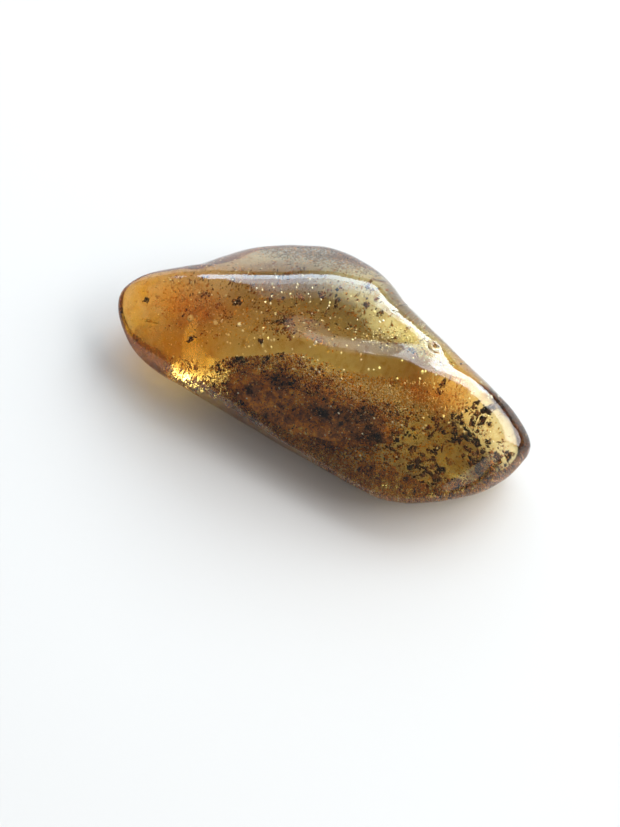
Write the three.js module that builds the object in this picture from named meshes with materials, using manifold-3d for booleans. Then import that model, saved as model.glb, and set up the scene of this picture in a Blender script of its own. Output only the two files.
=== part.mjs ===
// A polished amber pebble with two rounded ridges and a low end, full of plant debris.
// Millimetres, +Z up. +X runs along the length, +Y towards the taller rear ridge.
// The pebble rests on a small flat and its underside rises to a rounded rim all round.
import * as THREE from "three";
import { mergeVertices } from "three/addons/utils/BufferGeometryUtils.js";
import Module from "manifold-3d";

// Fineness of the round forms: an icosahedron's edges are cut this many times more than once.
const STONE_DETAIL = 11;
const FLAKE_DETAIL = 1;
const PIT_DETAIL = 2;

// Where the clear solid is parted, and the clearances between touching pieces.
const PARTING_HEIGHT = 2.8;
const PARTING_GAP = 0.15;
const POCKET_MARGIN = 0.35;

// Rim of the pebble seen from above, anticlockwise from the left tip's rear shoulder.
const RIM = [
  [-16.5, 2.5], [-16.9, 0.7], [-15.5, -1.1], [-13.5, -2.5],
  [-11.4, -3.3], [-9.0, -3.8], [-5.6, -4.6], [-2.4, -5.4],
  [2.5, -6.5], [6.1, -7.3], [8.6, -6.9], [11.0, -5.7],
  [12.9, -4.0], [14.2, -2.2], [15.15, -0.6], [15.4, 0.7],
  [14.0, 2.2], [11.7, 3.5], [9.1, 4.7], [6.4, 6.0],
  [3.5, 7.5], [0.6, 9.35], [-3.2, 10.5], [-5.9, 10.1],
  [-8.6, 9.0], [-10.7, 6.9], [-12.3, 5.1], [-14.6, 3.9],
];
const RIM_CENTRE = new THREE.Vector3(0, 0.8, 3);
const RIM_HEIGHT = 2.3;
const HALF_LENGTH = 16;
const HALF_WIDTH = 8.5;
const HALF_HEIGHT = 3.8;
const WALL_SLOPE_SHARE = 0.75;
const WALL_BULGE = 0.06;
const FAR = 26;
const SEARCH_STEPS = 40;

// How widely neighbouring faces run into each other.
const RIDGE_BLEND = 1.5;
const VALLEY_BLEND = 0.4;
const RIM_BLEND = 1.2;
const UNDERSIDE_BLEND = 0.8;

// Polished faces: [facing in degrees from +X, tilt in degrees from level, [point on it], blend].
const REAR_TOP = [
  [-92, 9, [0, 5.6, 7.75], 0],
  [-128, 24, [-8, 3.6, 6.9], 0.8],
  [-62, 30, [2, 2.2, 7.0], 0.4],
  [176, 30, [-14, 1, 4.9], 0.8],
];
const REAR_BACK = [
  [97, 37, [-2, 5.3, 7.7], 0],
  [118, 37, [-6.5, 3.65, 7.15], 0.4],
  [130, 37, [-10.75, 2.8, 5.95], 0.4],
  [62, 37, [3.0, 5.25, 7.5], 0.5],
  [28, 40, [7.4, 3.7, 6.8], 0.6],
];
const FRONT_RIDGE = [
  [84, 11, [0, -0.2, 7.4], 0],
  [-148, 28, [-2.8, 0, 7.1], 0.8],
  [-15, 10, [8, 0, 6.6], 0.5],
  [40, 24, [7.4, 1.4, 6.75], 0.5],
  [97, 48, [0, 4.4, 6.3], 0.3],
];
const END_RIDGE = [
  [-15, 13, [9, 1.4, 6.45], 0],
  [92, 25, [9, 1.9, 6.4], 0.4],
  [190, 16, [7.5, 1, 6.7], 0.5],
  [20, 25, [12.4, 0.3, 5.5], 0.8],
  [60, 48, [9, 4.0, 5.6], 0.3],
];
const FRONT_FACES = [
  [-97, 42, [0, -0.35, 7.4], 0.45],
  [-70, 28, [8, 1, 6.7], 0.6],
];
const UNDERSIDE = [
  [0, 180, [0, 0, 0], 0],
  [-99, 142, [0, -3.4, 0], 0.8],
  [135, 140, [-9.5, 4, 0], 0.8],
  [92, 140, [-3.7, 7.2, 0], 0.8],
  [62, 138, [5, 4.8, 0], 0.8],
  [0, 128, [14.2, 0, 0], 0.8],
  [183, 155, [-10, 0.6, 0], 0.6],
  [-62, 128, [9.2, -4.8, 0], 0.8],
];

// Dents left in the polish: [centre of the ball that fits the dent, its radius].
const PITS = [
  [[7.0, 3.68, 6.6], 0.55],
  [[3.46, 4.98, 7.41], 0.35],
];

// The dense cloud of crumbled bark under the front face, and four clouds of fine rusty dust:
// [name, [centre], [half length, half width, half height], turn in degrees, fineness].
const CLOUDS = [
  ["debris_cloud", [0.6, -1.6, 2.9], [7.4, 3.1, 2.1], 3, 3],
  ["dust_left_end", [-11.0, 2.1, 2.9], [1.3, 1.2, 1.2], 0, 2],
  ["dust_rear", [-5.4, 5.8, 3.6], [2.7, 1.3, 2.3], 10, 2],
  ["dust_between_ridges", [-1.75, 3.5, 3.9], [0.9, 0.75, 1.9], 0, 1],
  ["dust_rear_right", [3.1, 5.5, 3.3], [1.4, 0.9, 2.0], -20, 2],
];
const CLOUD_COVER = 0.95;
const CLOUD_ROUGHNESS = 0.1;

// Larger single flakes: [name, [centre], [length, width, thickness], turn in degrees].
const FLAKES = [
  ["flake_left_tip", [-13.8, 1.1, 2.95], [0.65, 0.6, 0.5], 20],
  ["flake_left_long", [-9.4, -0.5, 2.8], [1.3, 0.6, 0.5], 35],
  ["flake_rear_left", [-7.3, 3.3, 2.85], [1.0, 0.8, 0.6], 10],
  ["flake_rear_middle", [-3.9, 2.7, 2.8], [1.1, 0.8, 0.5], -20],
  ["flake_rear_ridge", [-1.1, 5.5, 2.8], [0.8, 0.8, 0.6], 50],
  ["flake_rear_small", [0.3, 4.2, 2.75], [0.6, 0.8, 0.5], 15],
  ["flake_valley", [5.0, 3.5, 2.8], [0.8, 0.7, 0.5], -30],
  ["flake_valley_end", [7.9, 2.5, 2.8], [0.6, 0.6, 0.5], 0],
  ["flake_right_upper", [9.5, 0.9, 2.75], [0.5, 0.9, 0.5], -15],
  ["flake_right_cluster", [11.3, 1.8, 2.8], [0.9, 0.9, 0.6], 40],
  ["flake_right_middle", [11.1, -0.2, 2.8], [0.6, 0.8, 0.5], 25],
  ["flake_right_branched", [9.3, -2.2, 2.8], [0.8, 1.1, 0.6], -10],
  ["flake_right_rim", [12.4, -0.1, 2.75], [0.6, 0.7, 0.5], -35],
  ["flake_right_curled", [12.65, -1.5, 2.8], [0.8, 0.8, 0.5], 20],
  ["flake_front_right", [10.3, -3.3, 2.7], [0.9, 0.7, 0.5], -25],
  ["flake_front_low", [8.2, -4.0, 2.75], [0.5, 0.8, 0.5], 5],
];
const FLAKE_ROUGHNESS = 0.22;

const AMBER_COLOR = 0xd08a1e;
const CLOUD_COLOR = 0x4a2612;
const DUST_COLOR = 0x9c5a1c;
const FLAKE_COLOR = 0x2e1a0e;

const wasm = await Module();
wasm.setup();

// Larger of two distances, rounded where they are within the blend of each other.
function blendedMax(a, b, blend) {
  if (blend === 0) return Math.max(a, b);
  const share = Math.max(blend - Math.abs(a - b), 0) / blend;
  return Math.max(a, b) + (share * share * blend) / 4;
}

// Signed height of a point above one polished face.
function aboveFace(point, [facing, tilt, through]) {
  const turn = THREE.MathUtils.degToRad(facing);
  const lean = THREE.MathUtils.degToRad(tilt);
  return (
    (point.x - through[0]) * Math.sin(lean) * Math.cos(turn) +
    (point.y - through[1]) * Math.sin(lean) * Math.sin(turn) +
    (point.z - through[2]) * Math.cos(lean)
  );
}

function aboveFaces(point, faces, start = -FAR) {
  return faces.reduce((top, face) => blendedMax(top, aboveFace(point, face), face[3]), start);
}

// Angle and distance around the rim's centre, measured in a frame that makes the rim nearly round.
function rimPolar(x, y) {
  const u = (x - RIM_CENTRE.x) / HALF_LENGTH;
  const v = (y - RIM_CENTRE.y) / HALF_WIDTH;
  return { angle: Math.atan2(v, u), distance: Math.hypot(u, v) };
}

const rimKnots = RIM.map(([x, y]) => rimPolar(x, y)).sort((a, b) => a.angle - b.angle);

function rimKnot(index) {
  const count = rimKnots.length;
  const laps = Math.floor(index / count);
  const knot = rimKnots[index - laps * count];
  return { angle: knot.angle + laps * 2 * Math.PI, distance: knot.distance };
}

// Rim distance at an angle, on a smooth closed curve through the knots.
function rimDistance(angle) {
  const next = rimKnots.findIndex((knot) => knot.angle > angle);
  const after = next < 0 ? rimKnots.length : next;
  const [before, from, to, beyond] = [after - 2, after - 1, after, after + 1].map(rimKnot);
  const span = to.angle - from.angle;
  const t = (angle - from.angle) / span;
  const leave = ((to.distance - before.distance) / (to.angle - before.angle)) * span;
  const arrive = ((beyond.distance - from.distance) / (beyond.angle - from.angle)) * span;
  return (
    from.distance * (2 * t ** 3 - 3 * t ** 2 + 1) +
    leave * (t ** 3 - 2 * t ** 2 + t) +
    to.distance * (3 * t ** 2 - 2 * t ** 3) +
    arrive * (t ** 3 - t ** 2)
  );
}

// Distance of a point outside the pebble's surface, negative inside it.
function outsideStone(point) {
  const { angle, distance } = rimPolar(point.x, point.y);
  const beyondRim = (distance - rimDistance(angle)) * 0.5 * (HALF_LENGTH + HALF_WIDTH);
  const wall = beyondRim * WALL_SLOPE_SHARE + WALL_BULGE * (point.z - RIM_HEIGHT) ** 2;
  const rearTop = aboveFaces(point, REAR_TOP);
  const rear = blendedMax(rearTop, aboveFaces(point, REAR_BACK), RIDGE_BLEND);
  const front = aboveFaces(point, FRONT_RIDGE);
  const end = aboveFaces(point, END_RIDGE);
  const longRidges = -blendedMax(-rear, -front, VALLEY_BLEND);
  const ridges = -blendedMax(-longRidges, -end, VALLEY_BLEND);
  const top = aboveFaces(point, FRONT_FACES, ridges);
  const under = aboveFaces(point, UNDERSIDE);
  return blendedMax(blendedMax(wall, top, RIM_BLEND), under, UNDERSIDE_BLEND);
}

// How far a ray from a point inside goes before it is as deep below the surface as asked.
function reach(from, direction, depth) {
  let near = 0;
  let far = FAR;
  const probe = new THREE.Vector3();
  for (let step = 0; step < SEARCH_STEPS; step += 1) {
    const middle = (near + far) / 2;
    probe.copy(direction).multiplyScalar(middle).add(from);
    if (outsideStone(probe) + depth < 0) near = middle;
    else far = middle;
  }
  return near;
}

// A ball whose points are moved by a function of their unit direction.
function shapedBall(detail, place) {
  const ball = new THREE.IcosahedronGeometry(1, detail);
  ball.deleteAttribute("normal");
  ball.deleteAttribute("uv");
  const geometry = mergeVertices(ball, 1e-5);
  const positions = geometry.getAttribute("position");
  const direction = new THREE.Vector3();
  for (let index = 0; index < positions.count; index += 1) {
    direction.fromBufferAttribute(positions, index).normalize();
    const placed = place(direction);
    positions.setXYZ(index, placed.x, placed.y, placed.z);
  }
  return geometry;
}

function toSolid(geometry) {
  return new wasm.Manifold(
    new wasm.Mesh({
      numProp: 3,
      vertProperties: new Float32Array(geometry.getAttribute("position").array),
      triVerts: new Uint32Array(geometry.index.array),
    }),
  );
}

function toGeometry(solid) {
  const mesh = solid.getMesh();
  const geometry = new THREE.BufferGeometry();
  geometry.setAttribute("position", new THREE.BufferAttribute(mesh.vertProperties, 3));
  geometry.setIndex(new THREE.BufferAttribute(mesh.triVerts, 1));
  geometry.computeVertexNormals();
  return geometry;
}

// The whole pebble before it is parted.
function stoneGeometry() {
  return shapedBall(STONE_DETAIL, (direction) => {
    const aimed = direction.clone();
    aimed.multiply(new THREE.Vector3(HALF_LENGTH, HALF_WIDTH, HALF_HEIGHT)).normalize();
    return aimed.multiplyScalar(reach(RIM_CENTRE, aimed, 0)).add(RIM_CENTRE);
  });
}

// Uneven swelling of a lump by direction, between about -1 and 1.
function lumpiness(direction, seed) {
  const coarse = Math.sin(3.1 * direction.x + 2.3 * direction.y + seed);
  const middle = Math.sin(5.7 * direction.y - 4.1 * direction.z + 2.3 * seed);
  const fine = Math.sin(8.3 * direction.z + 6.1 * direction.x + 4.7 * seed);
  return 0.5 * coarse + 0.3 * middle + 0.2 * fine;
}

// A cloud of debris keeps under a cover of clear amber; a margin makes the pocket around it.
function cloudGeometry([, centre, halfSize, turnDegrees, fineness], margin) {
  const axis = new THREE.Vector3(0, 0, 1);
  const turn = THREE.MathUtils.degToRad(turnDegrees);
  const halves = new THREE.Vector3(...halfSize);
  const middle = new THREE.Vector3(...centre);
  return shapedBall(fineness, (direction) => {
    const swelling = 1 + CLOUD_ROUGHNESS * lumpiness(direction, 1.7);
    const point = direction.clone().multiply(halves).multiplyScalar(swelling);
    point.applyAxisAngle(axis, turn);
    const wanted = point.length();
    const aimed = point.normalize();
    const room = reach(middle, aimed, CLOUD_COVER);
    return aimed.multiplyScalar(Math.min(wanted, room) + margin).add(middle);
  });
}

function flakeGeometry([, centre, size, turnDegrees], index, margin) {
  const axis = new THREE.Vector3(0, 0, 1);
  const turn = THREE.MathUtils.degToRad(turnDegrees);
  const halves = new THREE.Vector3(...size).multiplyScalar(0.5);
  return shapedBall(FLAKE_DETAIL, (direction) => {
    const swelling = 1 + FLAKE_ROUGHNESS * lumpiness(direction, index + 1);
    const point = direction.clone().multiply(halves).multiplyScalar(swelling);
    point.setLength(point.length() + margin);
    return point.applyAxisAngle(axis, turn).add(new THREE.Vector3(...centre));
  });
}

// A block that covers the pebble on one side of the parting plane.
function partingBlock(side) {
  const block = new THREE.BoxGeometry(4 * HALF_LENGTH, 4 * HALF_WIDTH, FAR);
  block.deleteAttribute("normal");
  block.deleteAttribute("uv");
  block.translate(0, 0, PARTING_HEIGHT + side * (FAR / 2 + PARTING_GAP / 2));
  return toSolid(mergeVertices(block));
}

function pitSolid([centre, radius]) {
  const middle = new THREE.Vector3(...centre);
  return toSolid(
    shapedBall(PIT_DETAIL, (direction) => direction.clone().multiplyScalar(radius).add(middle)),
  );
}

// The clear amber with its pits and pockets, as an upper and a lower piece.
function clearHalves() {
  let clear = toSolid(stoneGeometry());
  for (const pit of PITS) clear = clear.subtract(pitSolid(pit));
  for (const cloud of CLOUDS) clear = clear.subtract(toSolid(cloudGeometry(cloud, POCKET_MARGIN)));
  FLAKES.forEach((flake, index) => {
    clear = clear.subtract(toSolid(flakeGeometry(flake, index, POCKET_MARGIN)));
  });
  return {
    amber_upper: toGeometry(clear.intersect(partingBlock(1))),
    amber_lower: toGeometry(clear.intersect(partingBlock(-1))),
  };
}

function namedMesh(name, geometry, material) {
  const mesh = new THREE.Mesh(geometry, material);
  mesh.name = name;
  return mesh;
}

const amberMaterial = new THREE.MeshStandardMaterial({
  color: AMBER_COLOR,
  roughness: 0.05,
  metalness: 0,
  transparent: true,
  opacity: 0.6,
});
const cloudMaterial = new THREE.MeshStandardMaterial({
  color: CLOUD_COLOR,
  roughness: 0.9,
  metalness: 0,
});
const dustMaterial = new THREE.MeshStandardMaterial({
  color: DUST_COLOR,
  roughness: 0.9,
  metalness: 0,
});
const flakeMaterial = new THREE.MeshStandardMaterial({
  color: FLAKE_COLOR,
  roughness: 0.85,
  metalness: 0,
});

const stone = new THREE.Group();
for (const [name, geometry] of Object.entries(clearHalves())) {
  stone.add(namedMesh(name, geometry, amberMaterial));
}
CLOUDS.forEach((cloud, index) => {
  const material = index === 0 ? cloudMaterial : dustMaterial;
  stone.add(namedMesh(cloud[0], cloudGeometry(cloud, 0), material));
});
FLAKES.forEach((flake, index) => {
  stone.add(namedMesh(flake[0], flakeGeometry(flake, index, 0), flakeMaterial));
});

// The origin is the middle of the pebble's box, on the surface that it rests on.
const box = new THREE.Box3().setFromObject(stone, true);
const middle = box.getCenter(new THREE.Vector3());
stone.position.set(-middle.x, -middle.y, -box.min.z);

const part = new THREE.Group();
part.add(stone);

export default part;
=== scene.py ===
"""Looks of a polished amber pebble: clear amber with crumbled bark, flakes and bubbles inside."""

import math
from typing import NamedTuple

import bmesh
import bpy
import numpy as np
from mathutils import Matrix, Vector


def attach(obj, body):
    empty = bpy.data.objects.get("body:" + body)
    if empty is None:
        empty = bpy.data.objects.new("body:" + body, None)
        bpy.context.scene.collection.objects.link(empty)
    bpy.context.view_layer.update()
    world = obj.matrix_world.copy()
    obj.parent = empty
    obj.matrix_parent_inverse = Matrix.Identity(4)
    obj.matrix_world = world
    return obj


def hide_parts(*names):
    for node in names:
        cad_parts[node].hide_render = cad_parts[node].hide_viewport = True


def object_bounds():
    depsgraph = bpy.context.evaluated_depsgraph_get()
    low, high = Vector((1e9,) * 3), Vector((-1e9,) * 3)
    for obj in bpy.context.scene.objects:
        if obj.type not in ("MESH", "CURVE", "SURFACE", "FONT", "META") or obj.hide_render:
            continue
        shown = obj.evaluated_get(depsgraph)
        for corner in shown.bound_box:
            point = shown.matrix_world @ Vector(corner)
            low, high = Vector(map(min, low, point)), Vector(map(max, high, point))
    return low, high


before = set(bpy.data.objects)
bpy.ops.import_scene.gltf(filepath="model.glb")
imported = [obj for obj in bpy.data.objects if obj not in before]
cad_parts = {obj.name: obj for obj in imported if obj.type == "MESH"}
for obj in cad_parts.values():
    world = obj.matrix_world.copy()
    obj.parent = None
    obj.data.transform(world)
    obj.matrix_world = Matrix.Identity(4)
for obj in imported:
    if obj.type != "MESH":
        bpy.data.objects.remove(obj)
cad_low, cad_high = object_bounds()

# Units, and the shift from the pebble's own axes to the frame, whose numbers below are mm.
MM = 0.001
STONE_TO_FRAME = np.array([0.2675, -1.7774, 0.0])

# The photograph's view.
PHOTO_HEIGHT = 827
FOCAL_PIXELS = 2870
SENSOR_MM = 36
CAMERA_AZIMUTH = 22.7
CAMERA_ELEVATION = 60
CAMERA_DISTANCE = 203.3
CAMERA_TARGET = Vector((-0.103, -3.057, 0))
CAMERA_NEAR_LIMIT = 0.01

# Rim of the pebble seen from above, anticlockwise.
RIM = [
    (-16.5, 2.5), (-16.9, 0.7), (-15.5, -1.1), (-13.5, -2.5),
    (-11.4, -3.3), (-9.0, -3.8), (-5.6, -4.6), (-2.4, -5.4),
    (2.5, -6.5), (6.1, -7.3), (8.6, -6.9), (11.0, -5.7),
    (12.9, -4.0), (14.2, -2.2), (15.15, -0.6), (15.4, 0.7),
    (14.0, 2.2), (11.7, 3.5), (9.1, 4.7), (6.4, 6.0),
    (3.5, 7.5), (0.6, 9.35), (-3.2, 10.5), (-5.9, 10.1),
    (-8.6, 9.0), (-10.7, 6.9), (-12.3, 5.1), (-14.6, 3.9),
]
RIM_CENTRE = np.array([0, 0.8, 3])
RIM_HEIGHT = 2.3
HALF_SIZE = np.array([16, 8.5, 3.8])
WALL_SLOPE_SHARE = 0.75
WALL_BULGE = 0.06
# A distance beyond every face, and how often the search for the surface halves its step.
FAR = 26
SEARCH_STEPS = 30

# How widely neighbouring faces run into each other.
RIDGE_BLEND = 1.5
VALLEY_BLEND = 0.4
RIM_BLEND = 1.2
UNDERSIDE_BLEND = 0.8

# Polished faces: facing in degrees from +X, tilt in degrees from level, a point, blend.
REAR_TOP = [
    (-92, 9, (0, 5.6, 7.75), 0),
    (-128, 24, (-8, 3.6, 6.9), 0.8),
    (-62, 30, (2, 2.2, 7.0), 0.4),
    (176, 30, (-14, 1, 4.9), 0.8),
]
REAR_BACK = [
    (97, 37, (-2, 5.3, 7.7), 0),
    (118, 37, (-6.5, 3.65, 7.15), 0.4),
    (130, 37, (-10.75, 2.8, 5.95), 0.4),
    (62, 37, (3.0, 5.25, 7.5), 0.5),
    (28, 40, (7.4, 3.7, 6.8), 0.6),
]
FRONT_RIDGE = [
    (84, 11, (0, -0.2, 7.4), 0),
    (-148, 28, (-2.8, 0, 7.1), 0.8),
    (-15, 10, (8, 0, 6.6), 0.5),
    (40, 24, (7.4, 1.4, 6.75), 0.5),
    (97, 48, (0, 4.4, 6.3), 0.3),
]
END_RIDGE = [
    (-15, 13, (9, 1.4, 6.45), 0),
    (92, 25, (9, 1.9, 6.4), 0.4),
    (190, 16, (7.5, 1, 6.7), 0.5),
    (20, 25, (12.4, 0.3, 5.5), 0.8),
    (60, 48, (9, 4.0, 5.6), 0.3),
]
FRONT_FACES = [
    (-97, 42, (0, -0.35, 7.4), 0.45),
    (-70, 28, (8, 1, 6.7), 0.6),
]
UNDERSIDE = [
    (0, 180, (0, 0, 0), 0),
    (-99, 142, (0, -3.4, 0), 0.8),
    (135, 140, (-9.5, 4, 0), 0.8),
    (92, 140, (-3.7, 7.2, 0), 0.8),
    (62, 138, (5, 4.8, 0), 0.8),
    (0, 128, (14.2, 0, 0), 0.8),
    (183, 155, (-10, 0.6, 0), 0.6),
    (-62, 128, (9.2, -4.8, 0), 0.8),
]

# Dents left in the polish: centre of the ball that fits the dent, and its radius.
PITS = [
    ((7.0, 3.68, 6.6), 0.55),
    ((3.46, 4.98, 7.41), 0.35),
]
PIT_BLEND = 0.08
# Faint waves of the polish: their depth, then for each its steps along X, Y and Z and its start.
WAVE_DEPTH = 0.006
POLISH_WAVES = [
    ((1.7, 1.1, 0), 0),
    ((-1.3, 2.3, 1.9), 0),
    ((2.9, 0, 0), 4),
]
STONE_FINENESS = 7


class Heap(NamedTuple):
    """One heap of debris, at middle height. Shade runs from 0, pale gold, to 1, black."""

    centre: tuple
    half_size: tuple
    turn: float
    heights: tuple
    count: int
    grains: tuple
    shade: float
    spread: float
    clump: float = 0


# Debris lies in sheets that lean: how far they shift along X and Y for each mm upwards.
MIDDLE_HEIGHT = 2.8
SHEET_LEAN = np.array([0.12, -0.55])
ALL_HEIGHTS = (0.3, 7.3)
GRAIN_COVER = 0.25
DUST_NODES = ("dust_left_end", "dust_rear", "dust_between_ridges", "dust_rear_right")
# Clumps: grains in each, the range of their widths, and their height against their width.
CLUMP_GRAINS = 9
CLUMP_WIDTHS = (0.4, 1.2)
CLUMP_FLATNESS = 0.6

# The dark cloud at middle height: its sharp rear edge, from left to right, and its ragged
# right edge, from front to rear, with how far that edge fades out.
CLOUD_REAR_EDGE = [
    (-17, -3.0), (-7.5, -1.7), (-6.7, -0.8), (-5.0, 0.0), (-3.4, 0.9), (-1.8, 1.5),
    (0, 1.6), (1.3, 1.5), (3.1, 1.45), (6.0, 2.2), (9.0, 3.2), (17, 3.5),
]
CLOUD_RIGHT_EDGE = [(-8, 5.0), (-4.5, 6.6), (-2.3, 6.6), (0, 6.9), (1.5, 7.6), (3, 8.2)]
CLOUD_FADE = 0.9
# The clear band behind the cloud's rear edge: how wide it is along X.
CLEAR_BAND = [
    (-7.6, 0), (-7.5, 0.9), (-0.5, 1.0), (1.2, 1.9), (5.2, 2.2), (6.5, 1.2), (9.0, 0.8), (9.1, 0),
]
CLOUD_HEAPS = [
    Heap((-1.0, -2.2), (9.5, 6.0), 0, ALL_HEIGHTS, 56000, (0.09, 0.30), 0.36, 0.16),
    Heap((-0.3, -1.8), (7.0, 3.4), 0, (3.6, 7.3), 24000, (0.07, 0.26), 0.36, 0.22),
]
# Where the cloud is thin: centre, half size and the share of its grains left out.
THIN_PATCHES = [
    ((4.8, 1.5), (3.6, 1.3), 1.7),
    ((-0.5, 1.5), (2.5, 0.6), 0.6),
    ((-8.0, -2.0), (2.0, 0.9), 0.7),
    ((6.6, -2.6), (1.3, 2.2), 0.6),
]
# The debris that fills the foot of the front face, lying closer under the surface.
FOOT_HEAPS = [
    Heap((-0.6, -5.3), (8.4, 1.5), -13, (0.1, 2.8), 34000, (0.07, 0.20), 0.23, 0.18),
    Heap((6.2, -6.0), (4.2, 1.3), 4, (0.1, 2.4), 14000, (0.07, 0.20), 0.27, 0.16),
    Heap((11.7, -4.6), (2.3, 0.9), 38, (0.1, 2.2), 3000, (0.07, 0.22), 0.36, 0.16),
]
FOOT_COVER = 0.1
# Larger clots of bark in the cloud.
CLOT_HEAPS = [
    Heap((2.0, -4.8), (8.0, 1.9), -14, (0.3, 4.0), 5000, (0.10, 0.34), 0.45, 0.16),
    Heap((0.0, -1.5), (8.5, 3.8), 0, ALL_HEIGHTS, 7500, (0.12, 0.42), 0.86, 0.12, 0.22),
]
# The solid heart of the cloud, with how uneven it is and how much clear amber covers it.
HEART_CENTRE = np.array([0.0, -2.1, 2.7])
HEART_HALF_SIZE = np.array([5.9, 2.2, 1.7])
HEART_COVER = 1.0
HEART_WAVES = ((2.3, 0.10), (4.7, 0.07), (9.0, 0.05), (17.0, 0.03))
HEART_WAVE_STARTS = (0, 6)
HEART_SHADE = 0.09
HEART_FINENESS = 6
# Darker and lighter patches of the cloud: centre, half size, change of shade.
SHADE_PATCHES = [
    ((3.4, -2.2), (2.6, 1.3), 0.26),
    ((-5.5, -0.5), (1.0, 0.35), 0.45),
    ((-6.8, -1.6), (0.6, 0.4), 0.28),
    ((-4.1, -2.5), (0.5, 0.5), 0.34),
    ((-2.5, -1.0), (0.9, 0.4), 0.24),
    ((1.2, -2.3), (0.5, 0.4), 0.30),
    ((5.4, -2.6), (0.4, 0.4), 0.35),
    ((-5.3, -2.3), (0.7, 0.5), -0.14),
    ((-0.2, -4.6), (1.2, 0.7), -0.12),
    ((3.4, 0.1), (0.8, 0.5), -0.10),
    ((2.4, 1.0), (5.0, 1.0), -0.27),
    ((-7.4, -2.2), (1.6, 1.0), -0.20),
    ((6.9, -1.4), (0.8, 0.6), -0.25),
    ((4.2, -4.6), (1.0, 0.7), -0.26),
    ((-1.2, -3.5), (3.0, 1.0), 0.08),
]
# Soft clots in all of the debris: how much they change its shade, and the shares of their broad
# and narrow waves, each with its steps along X and Y and its start.
CLOT_DEPTH = 0.19
BROAD_CLOTS = (0.3, [((1.9, 0.8), 1), ((-1.1, 2.3), 2)])
NARROW_CLOTS = (0.2, [((4.3, -2.9), 0), ((3.3, 5.1), 4), ((7.7, 1.3), 0)])
# Fine dust, and the veil of it low behind the rear ridge.
DUST_HEAPS = [
    Heap((-10.9, 1.9), (2.4, 1.7), 0, ALL_HEIGHTS, 2200, (0.06, 0.18), 0.24, 0.06),
    Heap((-12.5, 1.0), (4.4, 3.4), 0, ALL_HEIGHTS, 2200, (0.05, 0.15), 0.12, 0.07),
    Heap((7.8, 1.9), (2.4, 1.2), -10, ALL_HEIGHTS, 2000, (0.06, 0.18), 0.18, 0.08),
    Heap((-1.5, 3.8), (10.0, 3.8), 0, ALL_HEIGHTS, 3000, (0.06, 0.2), 0.10, 0.10),
    Heap((3.8, 0.8), (3.6, 1.1), 10, ALL_HEIGHTS, 2800, (0.07, 0.2), 0.20, 0.12),
    Heap((10.5, -2.4), (5.0, 4.0), 0, ALL_HEIGHTS, 3600, (0.06, 0.2), 0.20, 0.14),
    Heap((10.5, -2.8), (5.0, 3.6), 0, ALL_HEIGHTS, 3000, (0.07, 0.26), 0.46, 0.12, 0.3),
    Heap((-1.0, 4.2), (9.0, 3.0), 0, ALL_HEIGHTS, 1200, (0.07, 0.26), 0.38, 0.12, 0.34),
]
VEIL_HEAPS = [
    Heap((-4.6, 9.0), (6.4, 1.7), 0, (0.3, 4.5), 30000, (0.06, 0.18), 0.58, 0.16),
]
# Dark specks. The last heap is a crack near the left tip, drawn as pale gold grains whose
# paleness is a painted glint.
SPECK_HEAPS = [
    Heap((10.6, -2.6), (4.6, 3.6), 0, ALL_HEIGHTS, 1700, (0.14, 0.58), 0.80, 0.12, 0.17),
    Heap((9.4, -4.6), (4.4, 1.6), 10, ALL_HEIGHTS, 1500, (0.14, 0.50), 0.68, 0.14, 0.24),
    Heap((11.0, 0.4), (1.2, 1.9), -20, ALL_HEIGHTS, 300, (0.14, 0.55), 0.78, 0.1, 0.16),
    Heap((13.2, -1.9), (1.3, 1.1), 0, ALL_HEIGHTS, 700, (0.12, 0.42), 0.62, 0.16, 0.25),
    Heap((-1.0, 4.0), (9.5, 3.2), 0, ALL_HEIGHTS, 1050, (0.10, 0.36), 0.62, 0.14, 0.22),
    Heap((2.0, 2.5), (14.0, 6.0), 0, ALL_HEIGHTS, 700, (0.07, 0.30), 0.80, 0.12),
    Heap((-3.4, 2.9), (1.6, 0.9), 0, ALL_HEIGHTS, 420, (0.08, 0.30), 0.60, 0.1, 0.3),
    Heap((-11.0, 1.5), (4.0, 2.5), 0, ALL_HEIGHTS, 360, (0.08, 0.30), 0.6, 0.14, 0.2),
    # Painted glint: pale gold grains in place of the crack's reflected light.
    Heap((-13.1, -0.2), (0.85, 0.07), 6, (3.6, 3.9), 110, (0.12, 0.28), 0.0, 0.02),
]
# Soft flecks between the ridges: place at middle height, half width and shade.
FLECKS = [
    ((-4.2, 3.4), 0.50, 0.50), ((-3.5, 5.2), 0.26, 0.62), ((-2.2, 5.8), 0.30, 0.66),
    ((-2.5, 4.3), 0.28, 0.60), ((-4.0, 2.3), 0.30, 0.60), ((-3.3, 2.5), 0.25, 0.64),
    ((0.9, 6.2), 0.26, 0.70), ((2.0, 6.0), 0.24, 0.70), ((-4.7, 1.3), 0.20, 0.70),
    ((-9.8, 3.2), 0.28, 0.60), ((8.0, 2.2), 0.30, 0.75), ((-8.8, 2.7), 0.26, 0.60),
    ((3.6, 4.8), 0.24, 0.60),
]
# Their width across against their width along, then heights, grains, grain sizes, shade's spread.
FLECK_DEPTH_SHARE = 0.6
FLECK_HEIGHTS = (4.2, 4.9)
FLECK_GRAINS = 26
FLECK_GRAIN_SIZES = (0.12, 0.34)
FLECK_SPREAD = 0.1
SPECK_HEAPS += [
    Heap(
        place, (half, FLECK_DEPTH_SHARE * half), 0, FLECK_HEIGHTS, FLECK_GRAINS,
        FLECK_GRAIN_SIZES, shade, FLECK_SPREAD,
    )
    for place, half, shade in FLECKS
]
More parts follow.
